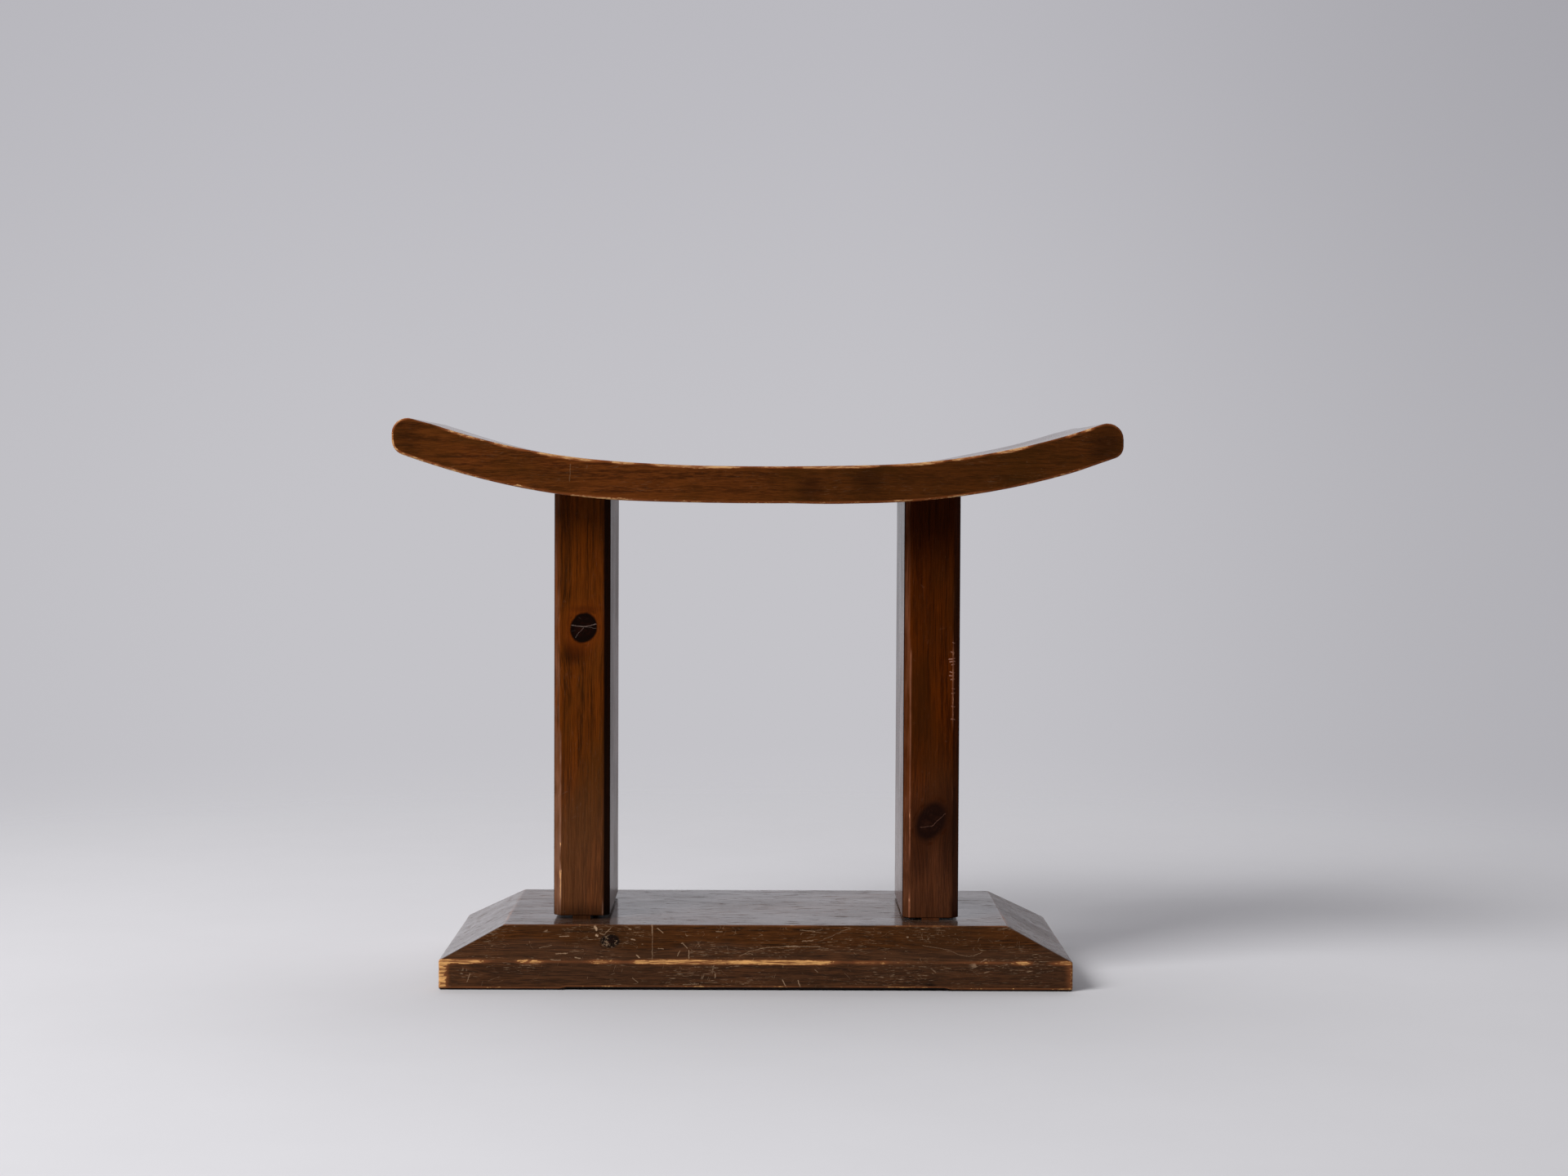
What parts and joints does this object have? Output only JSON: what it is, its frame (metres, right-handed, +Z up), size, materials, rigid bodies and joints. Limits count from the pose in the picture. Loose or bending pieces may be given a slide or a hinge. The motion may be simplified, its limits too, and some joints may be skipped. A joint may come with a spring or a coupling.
{
  "type": "stool",
  "caption": "Rigid wooden plank stool with an upswept saddle seat on upright boards over a bevelled base plank, joined by wedged through tenons.",
  "frame": {"origin": "on the floor under the middle of the base", "axes": "+X along the seat to the right as seen from the front, +Y through the depth from the front to the back, +Z up"},
  "size_m": [0.56, 0.23, 0.4388],
  "materials": {
    "seat_wood": "dark stained and lacquered pine, worn on its arrises",
    "base_wood": "dark stained and lacquered pine, scratched and worn",
    "left_leg_wood": "orange-brown stained and lacquered pine",
    "right_leg_wood": "red-brown stained and lacquered pine",
    "wedge_wood": "stained end grain"
  },
  "bodies": {
    "root": {"seat": "seat_wood", "base": "base_wood", "left_leg": "left_leg_wood", "right_leg": "right_leg_wood", "left_front_seat_wedge": "wedge_wood", "left_front_base_wedge": "wedge_wood", "left_back_seat_wedge": "wedge_wood", "left_back_base_wedge": "wedge_wood", "right_front_seat_wedge": "wedge_wood", "right_front_base_wedge": "wedge_wood", "right_back_seat_wedge": "wedge_wood", "right_back_base_wedge": "wedge_wood"}
  },
  "joints": []
}
